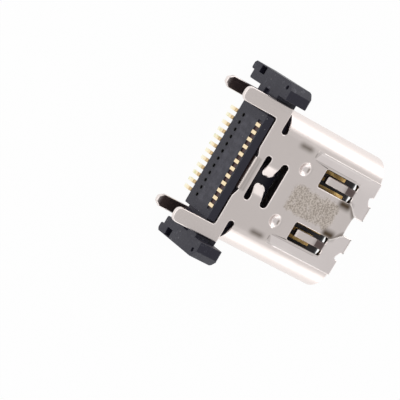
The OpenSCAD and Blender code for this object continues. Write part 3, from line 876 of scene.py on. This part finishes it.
def floor(look):
    """Pale paper that takes the shadow, and shows as nearly white to the eye and in reflections."""
    deselect()
    bpy.ops.mesh.primitive_plane_add(size=look.floor_width, location=(0.0, 0.0, FLOOR_Z))
    plane = bpy.context.object
    plane.name = "floor"
    bpy.ops.object.transform_apply(location=True, rotation=True, scale=True)
    material = bpy.data.materials.new("floor paper")
    material.use_nodes = True
    tree = material.node_tree
    shader = tree.nodes["Principled BSDF"]
    shader.inputs["Base Color"].default_value = (*look.paper, 1.0)
    shader.inputs["Roughness"].default_value = 0.9
    shader.inputs["Specular IOR Level"].default_value = 0.0
    white = put(tree, "ShaderNodeEmission")
    white.inputs["Color"].default_value = (1.0, 1.0, 1.0, 1.0)
    path = put(tree, "ShaderNodeLightPath")
    seen = larger(tree, path.outputs["Is Camera Ray"], path.outputs["Is Glossy Ray"])
    seen = larger(tree, seen, path.outputs["Is Transmission Ray"])
    blend = put(tree, "ShaderNodeMixShader")
    tree.links.new(times(tree, seen, look.lift), blend.inputs["Fac"])
    tree.links.new(shader.outputs["BSDF"], blend.inputs[1])
    tree.links.new(white.outputs["Emission"], blend.inputs[2])
    tree.links.new(blend.outputs["Shader"], tree.nodes["Material Output"].inputs["Surface"])
    plane.data.materials.append(material)


def surroundings(look):
    """A pale tent: bright at the horizon and softer overhead."""
    world = bpy.data.worlds.new("tent")
    bpy.context.scene.world = world
    world.use_nodes = True
    tree = world.node_tree
    way = parts_of(tree, put(tree, "ShaderNodeTexCoord").outputs["Generated"])
    up = ramp(tree, way["Z"], 0.3, 0.72)
    strength = maths(tree, "MULTIPLY_ADD", up, look.overhead - look.horizon, look.horizon)
    tree.links.new(strength, tree.nodes["Background"].inputs["Strength"])
    tree.nodes["Background"].inputs["Color"].default_value = (1.0, 1.0, 1.0, 1.0)


def softbox(name, towards, distance, width, height, radiance):
    """A soft rectangular lamp that faces the socket; radiance 1 looks as bright as white paper."""
    lamp = bpy.data.lights.new(name, "AREA")
    lamp.shape = "RECTANGLE"
    lamp.size, lamp.size_y = width, height
    lamp.energy = radiance * math.pi * width * height
    holder = bpy.data.objects.new(name, lamp)
    bpy.context.scene.collection.objects.link(holder)
    away = Vector(towards).normalized()
    middle = Vector((0.0, 0.5 * SHELL_TOP.y, 0.0))
    holder.location = middle + away * distance
    holder.rotation_euler = away.to_track_quat("Z", "Y").to_euler()


def camera(look):
    eye = bpy.data.objects.new("camera", bpy.data.cameras.new("camera"))
    bpy.context.scene.collection.objects.link(eye)
    eye.location = look.camera_spot
    eye.rotation_euler = look.camera_turn
    eye.data.lens = look.lens
    eye.data.sensor_width = SENSOR_WIDTH
    eye.data.clip_start = 10.0 * MM
    bpy.context.scene.camera = eye


class SOCKET_OT_stage(bpy.types.Operator):
    """Set out the floor, the lamps, the surroundings and the camera"""

    bl_idname = "socket.stage"
    bl_label = "Stage"

    def execute(self, context):
        look = context.scene.socket_stage
        context.scene.view_settings.view_transform = "Standard"
        floor(look)
        surroundings(look)
        softbox("back softbox", (-0.1, -0.85, 0.52), 120.0 * MM, 130.0 * MM, 60.0 * MM, look.back_lamp)
        softbox("left softbox", (-0.9, 0.45, 0.3), 110.0 * MM, 90.0 * MM, 60.0 * MM, look.left_lamp)
        softbox("right softbox", (0.9, 0.45, 0.3), 110.0 * MM, 90.0 * MM, 60.0 * MM, look.right_lamp)
        camera(look)
        return {"FINISHED"}


# ---- add-on -----------------------------------------------------------------

SETTINGS = {
    "socket_shell": SocketShellSettings,
    "socket_plastic": SocketPlasticSettings,
    "socket_tongue": SocketTongueSettings,
    "socket_contacts": SocketContactSettings,
    "socket_stage": SocketStageSettings,
}
OPERATORS = (SOCKET_OT_stage, SOCKET_OT_shell, SOCKET_OT_base, SOCKET_OT_tongue, SOCKET_OT_contacts)


class SOCKET_PT_panel(bpy.types.Panel):
    """Lists the sizes, the colours and the pieces of the socket"""

    bl_idname = "SOCKET_PT_panel"
    bl_label = "Usb-c socket"
    bl_space_type = "VIEW_3D"
    bl_region_type = "UI"
    bl_category = "Socket"

    def draw(self, context):
        for name, kind in SETTINGS.items():
            box = self.layout.box()
            for prop in kind.__annotations__:
                box.prop(getattr(context.scene, name), prop)
        for operator in OPERATORS:
            self.layout.operator(operator.bl_idname)


CLASSES = (*SETTINGS.values(), *OPERATORS, SOCKET_PT_panel)


def register():
    for kind in CLASSES:
        bpy.utils.register_class(kind)
    for name, kind in SETTINGS.items():
        setattr(bpy.types.Scene, name, bpy.props.PointerProperty(type=kind))


def unregister():
    for name in SETTINGS:
        delattr(bpy.types.Scene, name)
    for kind in reversed(CLASSES):
        bpy.utils.unregister_class(kind)


def main():
    register()
    build_groups()
    for operator in OPERATORS:
        group, action = operator.bl_idname.split(".")
        getattr(getattr(bpy.ops, group), action)()
    deselect()


if __name__ == "__main__":
    main()
